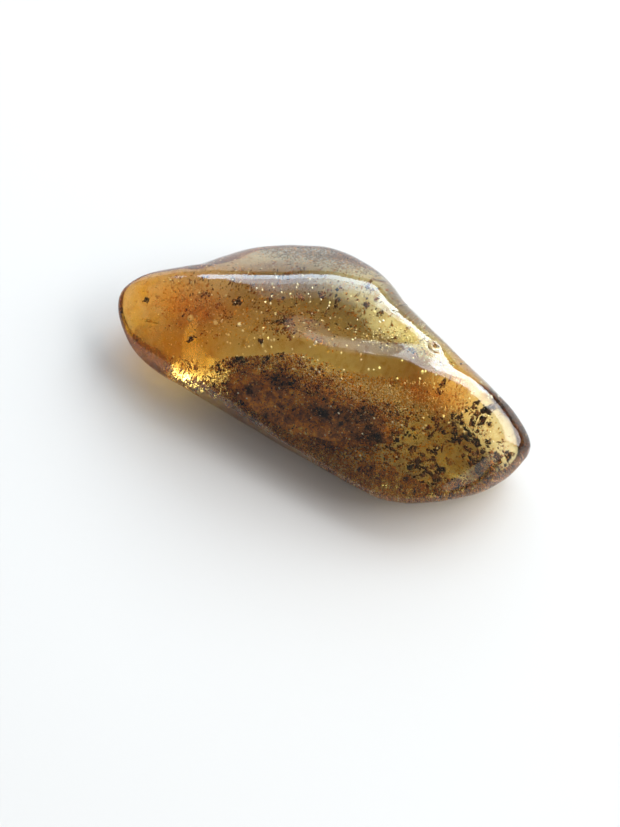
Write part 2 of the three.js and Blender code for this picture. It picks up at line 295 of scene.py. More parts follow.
# Thin cracks that sparkle.
GLINT_HEAPS = [
    Heap((0.0, 1.5), (16.0, 7.0), 0, (3.5, 7.2), 1300, (0.08, 0.17), 0, 0),
    Heap((5.0, 4.0), (3.6, 2.0), 0, (3.5, 7.2), 1500, (0.09, 0.24), 0, 0),
    Heap((-11.5, 1.0), (4.0, 2.5), 0, (2.8, 6.0), 800, (0.09, 0.19), 0, 0),
    Heap((5.5, 0.6), (4.0, 1.1), 10, (3.0, 6.2), 800, (0.09, 0.20), 0, 0),
    Heap((-1.0, -2.2), (8.0, 3.6), 0, (4.0, 7.2), 600, (0.07, 0.14), 0, 0),
]
# The way most glints face, how much that varies, and how thin they are.
GLINT_FACING = (0.30, -0.03, 0.95)
GLINT_SCATTER = 0.12
GLINT_THINNESS = 0.2
# Each piece's random draws start from this number and one of its own.
SEED = 7

# Golden, yellow and rusty stains at middle height: centre, half size, strength.
GOLD_STAINS = [
    ((-13.5, 1.0), (6.0, 6.0), 1.1),
    ((-4.0, 3.0), (5.0, 3.0), 0.22),
    ((-9.4, -1.8), (3.6, 1.8), 0.7),
    ((10.5, -1.5), (5.0, 5.0), 0.38),
]
YELLOW_STAINS = [
    ((10.5, -1.8), (5.0, 4.0), 0.55),
    ((8.0, 1.9), (3.0, 1.4), 0.7),
    ((5.0, 3.6), (3.6, 2.2), 0.3),
    ((9.0, 5.2), (6.0, 1.6), 0.7),
    ((-12.0, -1.6), (4.0, 2.0), 0.5),
]
RUST_STAINS = [
    ((-10.9, 1.9), (2.2, 1.3), 0.92),
    ((-8.4, 2.6), (2.0, 1.2), 0.3),
    ((-14.2, 1.4), (2.0, 2.4), 0.42),
    ((-4.5, 3.4), (3.5, 1.8), 0.16),
    ((1.6, 3.1), (3.0, 0.9), 0.16),
    ((8.0, 1.9), (2.5, 1.2), 0.88),
    ((3.4, 1.0), (3.0, 1.0), 0.15),
]
GOLD_TINT = (1.0, 0.58, 0.05)
YELLOW_TINT = (1.0, 0.90, 0.22)
RUST_TINT = (1.0, 0.36, 0.04)
MOTTLE_TINT = (0.80, 0.62, 0.42)
FLECK_TINT = (0.90, 0.78, 0.60)
CLEAR_TINT = (1.0, 1.0, 1.0)
# Noise: its scale and the range of its values that counts, from none to all.
STAIN_NOISE = (900.0, 0.3, 0.65)
MOTTLE_NOISE = (1100.0, 0.56, 0.68)
FLECK_NOISE = (2300.0, 0.55, 0.68)
LEAST_STAIN = 0.7

# The dull bevel low on the front: where it runs along X, its top height and its roughness.
BEVEL_ENDS = (-9.2, 3.0)
BEVEL_TOP = 3.2
BEVEL_ROUGHNESS = 0.38
POLISH_ROUGHNESS = 0.05
# How softly the bevel ends to the left, to the right, at its top and where the face turns away.
BEVEL_FADES = (1.6, 2.4, 0.5, 0.12)
BEVEL_FACING = 0.8
BEVEL_TOP_WANDER = 0.4
# Its ragged edge: for each wave the height, the steps along X and Z.
BEVEL_WAVES = [(0.3, 5, 0), (0.2, 11, 7), (0.2, 0, 9)]

# Clear amber: refraction, the colour and density of what it absorbs, and its gloss.
AMBER_IOR = 1.54
AMBER_TINT = (0.987, 0.872, 0.34, 1)
AMBER_DENSITY = 185
AMBER_SPECULAR = 0.62
# Every noise's fineness, and the finest unevenness of the polished surface with its bump.
NOISE_DETAIL = 5.0
NOISE_ROUGHNESS = 0.6
SURFACE_SCALE = 2600.0
SURFACE_DETAIL = 4.0
SURFACE_ROUGHNESS = 0.65
SURFACE_BUMP = 0.12
SURFACE_HEIGHT = 0.00004

# Bark: its colour at each shade, the noise range that darkens it, and for each kind the
# roughness and the noises, each with its scale and depth.
BARK_COLOURS = [
    (0.0, (1.0, 0.86, 0.52)),
    (0.12, (0.95, 0.62, 0.16)),
    (0.26, (0.86, 0.36, 0.06)),
    (0.42, (0.58, 0.23, 0.07)),
    (0.6, (0.30, 0.13, 0.06)),
    (0.8, (0.07, 0.038, 0.026)),
    (1.0, (0.013, 0.011, 0.011)),
]
BARK_NOISE_RANGE = (0.35, 0.65)
PACKED_BARK = (0.9, [(700.0, 0.26), (3000.0, 0.36)])
CRUMBLED_BARK = (0.8, [(3000.0, 0.08)])
RUSTY_DUST = (0.5, [(3000.0, 0.08)])
DUST_CLEARNESS = 0.65
DUST_IOR = 1.2
GLINT_ROUGHNESS = 0.5
GLINT_NOISE = (2500.0, 0.35, 0.65)
GLINT_PALE = (1.0, 0.97, 0.88)
GLINT_GOLD = (1.0, 0.84, 0.50)

# Grains: an eight-sided chip and a four-sided crumb, the range of their proportions and of how
# far each corner stands out, and how strongly small grains outnumber large ones.
CHIP_CORNERS = np.array([
    (1, 0, 0), (-1, 0, 0), (0, 1, 0), (0, -1, 0), (0, 0, 1), (0, 0, -1),
], float)
CHIP_FACES = np.array([
    (0, 2, 4), (2, 1, 4), (1, 3, 4), (3, 0, 4),
    (2, 0, 5), (1, 2, 5), (3, 1, 5), (0, 3, 5),
])
CRUMB_REACH = 0.75
CRUMB_CORNERS = np.array([(1, 1, 1), (-1, -1, 1), (-1, 1, -1), (1, -1, -1)], float) * CRUMB_REACH
CRUMB_FACES = np.array([(0, 2, 1), (0, 1, 3), (0, 3, 2), (1, 2, 3)])
GRAIN_PROPORTIONS = ((0.7, 0.4, 0.25), (1.3, 1.0, 0.6))
CORNER_RANGE = (0.6, 1.3)
SMALL_GRAIN_POWER = 2.5

# The flakes of the solid model: chips in each, the range of their places from the centre
# outwards, their sizes against the flake's, and their shade with its spread.
FLAKE_CHIPS = 16
FLAKE_REACHES = (0.15, 0.8)
FLAKE_CHIP_SIZES = (0.5, 1.1)
FLAKE_SHADE = (0.88, 0.1)

# Larger bubbles: centre at middle height and radius. Then the heap of tiny ones.
BUBBLES = [
    ((-10.2, 1.1), 0.27), ((-11.0, 0.9), 0.2), ((-8.3, 1.4), 0.2), ((-6.6, 1.9), 0.2),
    ((-6.2, 1.5), 0.12), ((-4.8, 2.1), 0.12), ((1.5, 0.7), 0.13), ((-0.4, 0.2), 0.12),
    ((7.2, 3.2), 0.15), ((6.4, 2.9), 0.12), ((3.4, 3.6), 0.12), ((9.0, 0.6), 0.12),
]
BUBBLE_HEIGHTS = (4.0, 5.0)
BUBBLE_COVER = 0.1
BUBBLE_THINNESS = 0.3
BUBBLE_FINENESS = 2
TINY_BUBBLES = Heap((-1.0, 1.0), (15.0, 6.0), 0, (3.4, 7.2), 520, (0.05, 0.10), 0, 0)
BUBBLE_ROUGHNESS = 0.5
BUBBLE_NOISE = (2500.0, 0.3, 0.7)
BUBBLE_TINT = (1.0, 1.0, 0.95)
BUBBLE_RIM_TINT = (1.0, 0.93, 0.78)

# The floor, in metres but for the gap of 0.03 mm under the pebble.
FLOOR_SIZE = 4
FLOOR_GAP = 0.03 * MM
FLOOR_COLOUR = (0.70, 0.65, 0.60, 1)
FLOOR_ROUGHNESS = 0.9
FLOOR_SPECULAR = 0.2

# Light: the room's own, then rectangles of light, all at one distance, with azimuth and
# elevation in degrees, size in metres, radiance and colour.
ROOM_COLOUR = (0.94, 0.95, 1.0, 1)
ROOM_STRENGTH = 0.24
LIGHT_DISTANCE = 0.6
LIGHTS = [
    ("window", 33, 32, (0.66, 0.42), 6.1, (0.92, 0.96, 1.0)),
    ("window_middle", 77, 26, (0.27, 0.19), 14, (0.76, 0.90, 1.0)),
    ("window_middle_top", 77, 45, (0.27, 0.21), 5.5, (0.80, 0.92, 1.0)),
    ("window_far_end_18", 113.4, 18, (0.455, 0.131), 8.6, (0.60, 0.79, 1.0)),
    ("window_far_end_31", 113.4, 31, (0.455, 0.131), 5.2, (0.60, 0.79, 1.0)),
    ("window_far_end_43", 113.4, 43.5, (0.455, 0.131), 2.5, (0.60, 0.79, 1.0)),
    ("window_far_end_56", 113.4, 56, (0.455, 0.131), 0.9, (0.60, 0.79, 1.0)),
    ("fill", -25, 30, (0.5, 0.3), 1.25, (1.0, 0.95, 0.88)),
]
# How often light may turn in all, through clear amber, off matt and off glossy surfaces.
MOST_BOUNCES = 20
CLEAR_BOUNCES = 16
MATT_BOUNCES = 4
GLOSS_BOUNCES = 6


def blended_max(a, b, blend):
    """The larger of two distances, rounded where they are within the blend of each other."""
    if blend == 0:
        return np.maximum(a, b)
    share = np.maximum(blend - np.abs(a - b), 0) / blend
    return np.maximum(a, b) + share * share * blend / 4


def above_face(points, facing, tilt, through):
    """Height of points above one level or tilted face."""
    turn, lean = math.radians(facing), math.radians(tilt)
    normal = np.array([
        math.sin(lean) * math.cos(turn),
        math.sin(lean) * math.sin(turn),
        math.cos(lean),
    ])
    return (points - np.array(through)) @ normal


def above_faces(points, faces, start=None):
    """Height above several faces that run into each other."""
    top = np.full(len(points), -float(FAR)) if start is None else start
    for facing, tilt, through, blend in faces:
        top = blended_max(top, above_face(points, facing, tilt, through), blend)
    return top


def rim_polar(x, y):
    """Angle and distance around the rim's centre, in a frame that makes the rim nearly round."""
    u = (x - RIM_CENTRE[0]) / HALF_SIZE[0]
    v = (y - RIM_CENTRE[1]) / HALF_SIZE[1]
    return np.arctan2(v, u), np.hypot(u, v)


def closed_rim_knots():
    """The rim's knots in order of angle, with two more on each side to close the curve."""
    knots = sorted(zip(*rim_polar(*np.array(RIM, float).T)))
    angles, distances = np.array(knots).T
    turn = 2 * math.pi
    angles = np.concatenate([angles[-2:] - turn, angles, angles[:2] + turn])
    distances = np.concatenate([distances[-2:], distances, distances[:2]])
    return angles, distances


KNOT_ANGLES, KNOT_DISTANCES = closed_rim_knots()


def rim_distance(angle):
    """Rim distance at an angle, on a smooth closed curve through the knots."""
    after = np.searchsorted(KNOT_ANGLES, angle, side="right")
    a0, a1, a2, a3 = (KNOT_ANGLES[after + shift] for shift in (-2, -1, 0, 1))
    d0, d1, d2, d3 = (KNOT_DISTANCES[after + shift] for shift in (-2, -1, 0, 1))
    span = a2 - a1
    t = (angle - a1) / span
    leave = (d2 - d0) / (a2 - a0) * span
    arrive = (d3 - d1) / (a3 - a1) * span
    return (
        d1 * (2 * t**3 - 3 * t**2 + 1)
        + leave * (t**3 - 2 * t**2 + t)
        + d2 * (3 * t**2 - 2 * t**3)
        + arrive * (t**3 - t**2)
    )


def outside_stone(points):
    """Distance of points outside the pebble's surface, negative inside it."""
    angle, distance = rim_polar(points[:, 0], points[:, 1])
    beyond_rim = (distance - rim_distance(angle)) * 0.5 * (HALF_SIZE[0] + HALF_SIZE[1])
    wall = beyond_rim * WALL_SLOPE_SHARE + WALL_BULGE * (points[:, 2] - RIM_HEIGHT) ** 2
    rear_top = above_faces(points, REAR_TOP)
    rear = blended_max(rear_top, above_faces(points, REAR_BACK), RIDGE_BLEND)
    front = above_faces(points, FRONT_RIDGE)
    end = above_faces(points, END_RIDGE)
    long_ridges = -blended_max(-rear, -front, VALLEY_BLEND)
    ridges = -blended_max(-long_ridges, -end, VALLEY_BLEND)
    top = above_faces(points, FRONT_FACES, ridges)
    under = above_faces(points, UNDERSIDE)
    return blended_max(blended_max(wall, top, RIM_BLEND), under, UNDERSIDE_BLEND)


def outside_polished(points):
    """The pebble's surface with its small dents and the faint waves that polishing leaves."""
    waves = sum(np.sin(points @ np.array(steps) + start) for steps, start in POLISH_WAVES)
    outside = outside_stone(points) + WAVE_DEPTH * waves
    for centre, radius in PITS:
        inside_pit = radius - np.linalg.norm(points - np.array(centre), axis=1)
        outside = blended_max(outside, inside_pit, PIT_BLEND)
    return outside


def reach(directions, outside, start):
    """How far each direction goes from the start before it leaves the form."""
    near = np.zeros(len(directions))
    far = np.full(len(directions), float(FAR))
    for _ in range(SEARCH_STEPS):
        middle = (near + far) / 2
        within = outside(start + directions * middle[:, None]) < 0
        near = np.where(within, middle, near)
        far = np.where(within, far, middle)
    return near


def mesh_piece(name, points_mm, faces, material, replaced=()):
    """A piece from points in the pebble's own axes, kept inside the solid model's box."""
    mesh = bpy.data.meshes.new(name)
    corners = faces.shape[1]
    placed = np.clip((points_mm + STONE_TO_FRAME) * MM, np.array(cad_low), np.array(cad_high))
    mesh.vertices.add(len(placed))
    mesh.vertices.foreach_set("co", placed.ravel())
    mesh.loops.add(faces.size)
    mesh.loops.foreach_set("vertex_index", faces.ravel())
    mesh.polygons.add(len(faces))
    mesh.polygons.foreach_set("loop_start", np.arange(0, faces.size, corners))
    mesh.update(calc_edges=True)
    mesh.validate()
    mesh.materials.append(material)
    piece = bpy.data.objects.new(name, mesh)
    bpy.context.scene.collection.objects.link(piece)
    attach(piece, "root")
    if replaced:
        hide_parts(*replaced)
    return piece


def store(piece, name, values):
    """Stores one number for each point of a piece."""
    stored = piece.data.attributes.new(name, "FLOAT", "POINT")
    stored.data.foreach_set("value", values)


def ball(subdivisions):
    """Unit directions and triangles of a fine ball."""
    shape = bmesh.new()
    bmesh.ops.create_icosphere(shape, subdivisions=subdivisions, radius=1)
    directions = np.array([vertex.co[:] for vertex in shape.verts])
    faces = np.array([[vertex.index for vertex in face.verts] for face in shape.faces])
    shape.free()
    return directions, faces


def new_material(name):
    """A named material and its shader tree."""
    material = bpy.data.materials.new(name)
    material.use_nodes = True
    return material, material.node_tree


def add_node(tree, kind, **values):
    """A shader node with some of its inputs set by name."""
    node = tree.nodes.new(kind)
    for key, value in values.items():
        node.inputs[key.replace("_", " ")].default_value = value
    return node


def noise_share(tree, place, scale, low, high):
    """A share from 0 to 1 that changes over the piece, from a soft noise of the given scale."""
    noise = add_node(
        tree, "ShaderNodeTexNoise", Scale=scale, Detail=NOISE_DETAIL, Roughness=NOISE_ROUGHNESS
    )
    tree.links.new(place.outputs["Object"], noise.inputs["Vector"])
    share = add_node(tree, "ShaderNodeMapRange", From_Min=low, From_Max=high)
    tree.links.new(noise.outputs["Fac"], share.inputs["Value"])
    return share.outputs["Result"]


def blend_colours(tree, factor, first, second, kind="MIX"):
    """Mixes two colours, each a plain value or another node's output."""
    mix = tree.nodes.new("ShaderNodeMix")
    mix.data_type = "RGBA"
    mix.blend_type = kind
    factor_in = mix.inputs["Factor"]
    if isinstance(factor, float):
        factor_in.default_value = factor
    else:
        tree.links.new(factor, factor_in)
    sockets = [socket for socket in mix.inputs if socket.type == "RGBA"]
    for socket, colour in zip(sockets, (first, second)):
        if isinstance(colour, tuple):
            socket.default_value = (*colour, 1)
        else:
            tree.links.new(colour, socket)
    return [socket for socket in mix.outputs if socket.type == "RGBA"][0]


def amber_material():
    """Clear amber with coloured stains, faint mottling and a dull bevel."""
    material, tree = new_material("amber")
    shader = tree.nodes["Principled BSDF"]
    shader.inputs["IOR"].default_value = AMBER_IOR
    shader.inputs["Specular IOR Level"].default_value = AMBER_SPECULAR
    shader.inputs["Transmission Weight"].default_value = 1
    place = tree.nodes.new("ShaderNodeTexCoord")

    stained = CLEAR_TINT
    tints = (("yellow", YELLOW_TINT), ("gold", GOLD_TINT), ("rust", RUST_TINT))
    for name, stain_tint in tints:
        stain = tree.nodes.new("ShaderNodeAttribute")
        stain.attribute_name = name
        uneven = add_node(tree, "ShaderNodeMapRange", To_Min=LEAST_STAIN)
        tree.links.new(noise_share(tree, place, *STAIN_NOISE), uneven.inputs["Value"])
        strength = tree.nodes.new("ShaderNodeMath")
        strength.operation = "MULTIPLY"
        strength.use_clamp = True
        tree.links.new(stain.outputs["Fac"], strength.inputs[0])
        tree.links.new(uneven.outputs["Result"], strength.inputs[1])
        stained = blend_colours(tree, strength.outputs["Value"], stained, stain_tint)
    broad = blend_colours(tree, noise_share(tree, place, *MOTTLE_NOISE), CLEAR_TINT, MOTTLE_TINT)
    fine = blend_colours(tree, noise_share(tree, place, *FLECK_NOISE), CLEAR_TINT, FLECK_TINT)
    mottled = blend_colours(tree, 1.0, broad, fine, "MULTIPLY")
    tint = blend_colours(tree, 1.0, stained, mottled, "MULTIPLY")
    tree.links.new(tint, shader.inputs["Base Color"])

    dull = tree.nodes.new("ShaderNodeAttribute")
    dull.attribute_name = "dull"
    roughness = add_node(
        tree, "ShaderNodeMapRange", To_Min=POLISH_ROUGHNESS, To_Max=BEVEL_ROUGHNESS
    )
    tree.links.new(dull.outputs["Fac"], roughness.inputs["Value"])
    tree.links.new(roughness.outputs["Result"], shader.inputs["Roughness"])

    grain = add_node(
        tree, "ShaderNodeTexNoise",
        Scale=SURFACE_SCALE, Detail=SURFACE_DETAIL, Roughness=SURFACE_ROUGHNESS,
    )
    tree.links.new(place.outputs["Object"], grain.inputs["Vector"])
    bump = add_node(tree, "ShaderNodeBump", Strength=SURFACE_BUMP, Distance=SURFACE_HEIGHT)
    tree.links.new(grain.outputs["Fac"], bump.inputs["Height"])
    tree.links.new(bump.outputs["Normal"], shader.inputs["Normal"])

    volume = tree.nodes.new("ShaderNodeVolumeAbsorption")
    volume.inputs["Color"].default_value = AMBER_TINT
    volume.inputs["Density"].default_value = AMBER_DENSITY
    tree.links.new(volume.outputs["Volume"], tree.nodes["Material Output"].inputs["Volume"])
    return material


def bark_material(name, roughness, unevenness):
    """Bark whose colour goes by the shade stored on each grain, from pale gold to black."""
    material, tree = new_material(name)
    shader = tree.nodes["Principled BSDF"]
    shader.inputs["Roughness"].default_value = roughness
    place = tree.nodes.new("ShaderNodeTexCoord")
    stored = tree.nodes.new("ShaderNodeAttribute")
    stored.attribute_name = "shade"
    shade = stored.outputs["Fac"]
    for scale, depth in unevenness:
        darker = tree.nodes.new("ShaderNodeMath")
        darker.operation = "MULTIPLY_ADD"
        tree.links.new(noise_share(tree, place, scale, *BARK_NOISE_RANGE), darker.inputs[0])
        darker.inputs[1].default_value = depth
        tree.links.new(shade, darker.inputs[2])
        shade = darker.outputs["Value"]
    ramp = tree.nodes.new("ShaderNodeValToRGB")
    stops = ramp.color_ramp.elements
    stops.remove(stops[1])
    stops[0].color = (*BARK_COLOURS[0][1], 1)
    for position, colour in BARK_COLOURS[1:]:
        stops.new(position).color = (*colour, 1)
    tree.links.new(shade, ramp.inputs["Fac"])
    tree.links.new(ramp.outputs["Color"], shader.inputs["Base Color"])
    return material


def glint_material():
    """Cracks that mirror the light, in tones of pale gold."""
    material, tree = new_material("golden_glint")
    shader = tree.nodes["Principled BSDF"]
    shader.inputs["Metallic"].default_value = 1
    shader.inputs["Roughness"].default_value = GLINT_ROUGHNESS
    place = tree.nodes.new("ShaderNodeTexCoord")
    share = noise_share(tree, place, *GLINT_NOISE)
    tone = blend_colours(tree, share, GLINT_PALE, GLINT_GOLD)
    tree.links.new(tone, shader.inputs["Base Color"])
    return material


def dust_material():
    """Fine dust that lets much of the light through."""
    material = bark_material("rusty_dust", *RUSTY_DUST)
    shader = material.node_tree.nodes["Principled BSDF"]
    shader.inputs["Transmission Weight"].default_value = DUST_CLEARNESS
    shader.inputs["IOR"].default_value = DUST_IOR
    return material


def at_middle_height(points):
    """Where the leaning sheet through each point lies at middle height."""
    return points[:, :2] - (points[:, 2:] - MIDDLE_HEIGHT) * SHEET_LEAN


def patch_sum(flat, patches):
    """Soft patches added up, each with its centre, half size and strength."""
    total = np.zeros(len(flat))
    for centre, half_size, strength in patches:
        away = (flat - np.array(centre)) / np.array(half_size)
        total += strength * np.exp(-np.sum(away ** 2, axis=1))
    return total


def bevel_dullness(points, normals):
    """How far each point belongs to the dull bevel at the foot of the front face."""
    x, _, z = points.T
    left, right = BEVEL_ENDS
    left_fade, right_fade, top_fade, turn_fade = BEVEL_FADES
    ragged = sum(height * np.sin(along * x + up * z) for height, along, up in BEVEL_WAVES)
    reached = np.clip((x + ragged - left) / left_fade, 0, 1)
    reached *= np.clip((right - x + ragged) / right_fade, 0, 1)
    low = np.clip((BEVEL_TOP + BEVEL_TOP_WANDER * ragged - z) / top_fade, 0, 1)
    facing_front = np.clip((-normals[:, 1] - BEVEL_FACING) / turn_fade, 0, 1)
    return reached * low * facing_front


def amber_piece():
    """The polished surface of the whole pebble."""
    directions, faces = ball(STONE_FINENESS)
    aimed = directions * HALF_SIZE
    aimed /= np.linalg.norm(aimed, axis=1, keepdims=True)
    points = RIM_CENTRE + aimed * reach(aimed, outside_polished, RIM_CENTRE)[:, None]
    piece = mesh_piece(
        "amber", points, faces, amber_material(), ("amber_upper", "amber_lower")
    )
    piece.data.shade_smooth()
    normals = np.zeros(len(points) * 3)
    piece.data.vertices.foreach_get("normal", normals)
    flat = at_middle_height(points)
    store(piece, "gold", np.clip(patch_sum(flat, GOLD_STAINS), 0, 1))
    store(piece, "rust", np.clip(patch_sum(flat, RUST_STAINS), 0, 1))
    store(piece, "yellow", np.clip(patch_sum(flat, YELLOW_STAINS), 0, 1))
    store(piece, "dull", bevel_dullness(points, normals.reshape(-1, 3)))


def random_turns(count, rng):
    """Random rotation matrices."""
    q = rng.normal(size=(count, 4))
    q /= np.linalg.norm(q, axis=1, keepdims=True)
    w, x, y, z = q.T
    return np.array([
        [1 - 2 * (y * y + z * z), 2 * (x * y - w * z), 2 * (x * z + w * y)],
        [2 * (x * y + w * z), 1 - 2 * (x * x + z * z), 2 * (y * z - w * x)],
        [2 * (x * z - w * y), 2 * (y * z + w * x), 1 - 2 * (x * x + y * y)],
    ]).transpose(2, 0, 1)


def glint_turns(count, rng):
    """Rotation matrices that turn flat plates to the way most glints face."""
    facing = np.array(GLINT_FACING) + GLINT_SCATTER * rng.normal(size=(count, 3))
    facing /= np.linalg.norm(facing, axis=1, keepdims=True)
    along = np.cross(facing, rng.normal(size=(count, 3)))
    along /= np.linalg.norm(along, axis=1, keepdims=True)
    return np.stack([along, np.cross(facing, along), facing], axis=2)


def chips(centres, sizes, shades, name, material, fine, rng, replaced=(), plates=False):
    """One joined mesh of small angular chips, of four-sided crumbs, or of thin plates."""
    shape, shape_faces = (CRUMB_CORNERS, CRUMB_FACES) if fine else (CHIP_CORNERS, CHIP_FACES)
    count = len(centres)
    proportions = rng.uniform(*GRAIN_PROPORTIONS, (count, 3))
    corners = shape[None] * rng.uniform(*CORNER_RANGE, (count, len(shape), 1))
    corners = corners * (proportions * sizes[:, None] / 2)[:, None]
    if plates:
        corners[:, :, 2] *= GLINT_THINNESS
    turns = glint_turns(count, rng) if plates else random_turns(count, rng)
    corners = np.einsum("nij,nkj->nki", turns, corners)
    points = (corners + centres[:, None]).reshape(-1, 3)
    steps = np.arange(count)[:, None, None] * len(shape)
    faces = (shape_faces[None] + steps).reshape(-1, 3)
    piece = mesh_piece(name, points, faces, material, replaced)
    store(piece, "shade", np.repeat(shades, len(shape)))


def scattered(heap, rng):
    """Points of one heap of debris at middle height, and their heights."""
    clumps = max(heap.count // CLUMP_GRAINS, 1) if heap.clump else heap.count
    angles = rng.uniform(0, 2 * math.pi, clumps)
    spread = rng.uniform(0, 1, clumps) ** 0.5
    along = heap.half_size[0] * spread * np.cos(angles)
    across = heap.half_size[1] * spread * np.sin(angles)
    lean = math.radians(heap.turn)
    flat = np.stack([
        heap.centre[0] + along * math.cos(lean) - across * math.sin(lean),
        heap.centre[1] + along * math.sin(lean) + across * math.cos(lean),
    ], axis=1)
    heights = rng.uniform(*heap.heights, clumps)
    if heap.clump:
        chosen = rng.integers(0, clumps, heap.count)
        reach_out = heap.clump * rng.uniform(*CLUMP_WIDTHS, clumps)[chosen]
        flat = flat[chosen] + rng.normal(size=(heap.count, 2)) * reach_out[:, None]
        heights = heights[chosen] + rng.normal(size=heap.count) * reach_out * CLUMP_FLATNESS
    return flat, heights


def in_cloud(flat, rng):
    """Whether points at middle height belong to the dark cloud."""
    rear_edge = np.interp(flat[:, 0], *np.array(CLOUD_REAR_EDGE).T)
    right_edge = np.interp(flat[:, 1], *np.array(CLOUD_RIGHT_EDGE).T)
    right_edge = right_edge + CLOUD_FADE * rng.normal(size=len(flat))
    thick = rng.uniform(size=len(flat)) > patch_sum(flat, THIN_PATCHES)
    return (flat[:, 1] < rear_edge) & (flat[:, 0] < right_edge) & thick


def in_clear_band(flat):
    """Whether points at middle height lie in the clear band behind the cloud."""
    x, y = flat.T
    behind = y - np.interp(x, *np.array(CLOUD_REAR_EDGE).T)
    return (behind > 0) & (behind < np.interp(x, *np.array(CLEAR_BAND).T))


def clots(flat):
    """Soft uneven waves of the debris's shade, from about -1 to 1."""
    return sum(
        share * np.sin(flat @ np.array(steps) + start)
        for share, waves in (BROAD_CLOTS, NARROW_CLOTS)
        for steps, start in waves
    )


def debris(
    name, heaps, material, fine=False, cloud=False, replaced=(), cover=GRAIN_COVER,
    plates=False,
):
    """One piece of debris inside the amber, in the cloud or clear of the band behind it."""
    rng = np.random.default_rng(SEED + len(name))
    centres, sizes, shades = [], [], []
    for heap in heaps:
        smallest, largest = heap.grains
        flat, heights = scattered(heap, rng)
        shifted = flat + (heights - MIDDLE_HEIGHT)[:, None] * SHEET_LEAN
        points = np.column_stack([shifted, heights])
        kept = outside_stone(points) < -cover
        kept &= in_cloud(flat, rng) if cloud else ~in_clear_band(flat)
        count = int(kept.sum())
        shade = rng.normal(heap.shade, heap.spread, count) + CLOT_DEPTH * clots(flat[kept])
        if cloud:
            shade += patch_sum(flat[kept], SHADE_PATCHES)
        centres.append(points[kept])
        size_share = rng.uniform(0, 1, count) ** SMALL_GRAIN_POWER
        sizes.append(smallest + (largest - smallest) * size_share)
        shades.append(np.clip(shade, 0, 1))
    chips(
        np.concatenate(centres), np.concatenate(sizes), np.concatenate(shades),
        name, material, fine, rng, replaced, plates,
    )


def cloud_heart():
    """The solid heart of the dark cloud, a ragged lump of packed bark with soft dark clots."""
    directions, faces = ball(HEART_FINENESS)
    aimed = directions * HEART_HALF_SIZE
    lengths = np.linalg.norm(aimed, axis=1)
    aimed /= lengths[:, None]
    rng = np.random.default_rng(SEED + 2)
    for scale, depth in HEART_WAVES:
        turns = rng.normal(size=(3, 3)) * scale
        waves = np.sin(directions @ turns + rng.uniform(*HEART_WAVE_STARTS, 3)).sum(axis=1)
        lengths = lengths * (1 + depth * waves / 2)
    room = reach(aimed, outside_stone, HEART_CENTRE) - HEART_COVER
    points = HEART_CENTRE + aimed * np.minimum(lengths, room)[:, None]
    bark = bark_material("packed_bark", *PACKED_BARK)
    piece = mesh_piece("bark_heart", points, faces, bark, ("debris_cloud",))
    piece.data.shade_smooth()
    flat = at_middle_height(points)
    shade = HEART_SHADE + patch_sum(flat, SHADE_PATCHES) + CLOT_DEPTH * clots(flat)
    store(piece, "shade", np.clip(shade, 0, 1))


def all_debris():
    """Everything sealed in the amber but the heart of the cloud and the bubbles."""
    bark = bark_material("crumbled_bark", *CRUMBLED_BARK)
    dust = dust_material()
    debris(
        "bark_crumbs", CLOUD_HEAPS, bark,
        fine=True, cloud=True, replaced=("debris_cloud",),
    )
    debris("bark_clots", CLOT_HEAPS, bark, cloud=True)
    debris("bark_foot", FOOT_HEAPS, bark, fine=True, cover=FOOT_COVER)
    debris("rusty_dust", DUST_HEAPS, dust, fine=True, replaced=DUST_NODES)
    debris("golden_glints", GLINT_HEAPS, glint_material(), plates=True)
    debris("back_veil", VEIL_HEAPS, bark, fine=True)
    # bark_specks also holds the pale gold grains that paint the glint of the crack near the left
    # tip.
    debris("bark_specks", SPECK_HEAPS, bark)
    bark_flakes(bark)


def flake_chips(node_name, rng):
    """Centres and sizes of the angular chips that make up one flake of the solid model."""
    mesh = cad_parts[node_name].data
    corners = np.zeros(len(mesh.vertices) * 3)
    mesh.vertices.foreach_get("co", corners)
    corners = corners.reshape(-1, 3) / MM - STONE_TO_FRAME
    centre = corners.mean(axis=0)
    axes = np.linalg.eigh(np.cov((corners - centre).T))[1]
    reaches = np.abs((corners - centre) @ axes).max(axis=0)
    aims = rng.normal(size=(FLAKE_CHIPS, 3))
    aims /= np.linalg.norm(aims, axis=1, keepdims=True)
    places = aims * rng.uniform(*FLAKE_REACHES, (FLAKE_CHIPS, 1))
    sizes = reaches.mean() * rng.uniform(*FLAKE_CHIP_SIZES, FLAKE_CHIPS)
    return centre + (places * reaches) @ axes.T, sizes


def bark_flakes(bark):
    """The larger single flakes, each in the place of its own solid."""
    rng = np.random.default_rng(SEED)
    names = sorted(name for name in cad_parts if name.startswith("flake_"))
    flakes = [flake_chips(name, rng) for name in names]
    centres = np.concatenate([centre for centre, _ in flakes])
    sizes = np.concatenate([size for _, size in flakes])
    shades = np.clip(rng.normal(*FLAKE_SHADE, len(sizes)), 0, 1)
    chips(
        centres, sizes, shades, "bark_flakes", bark,
        fine=False, rng=rng, replaced=names,
    )


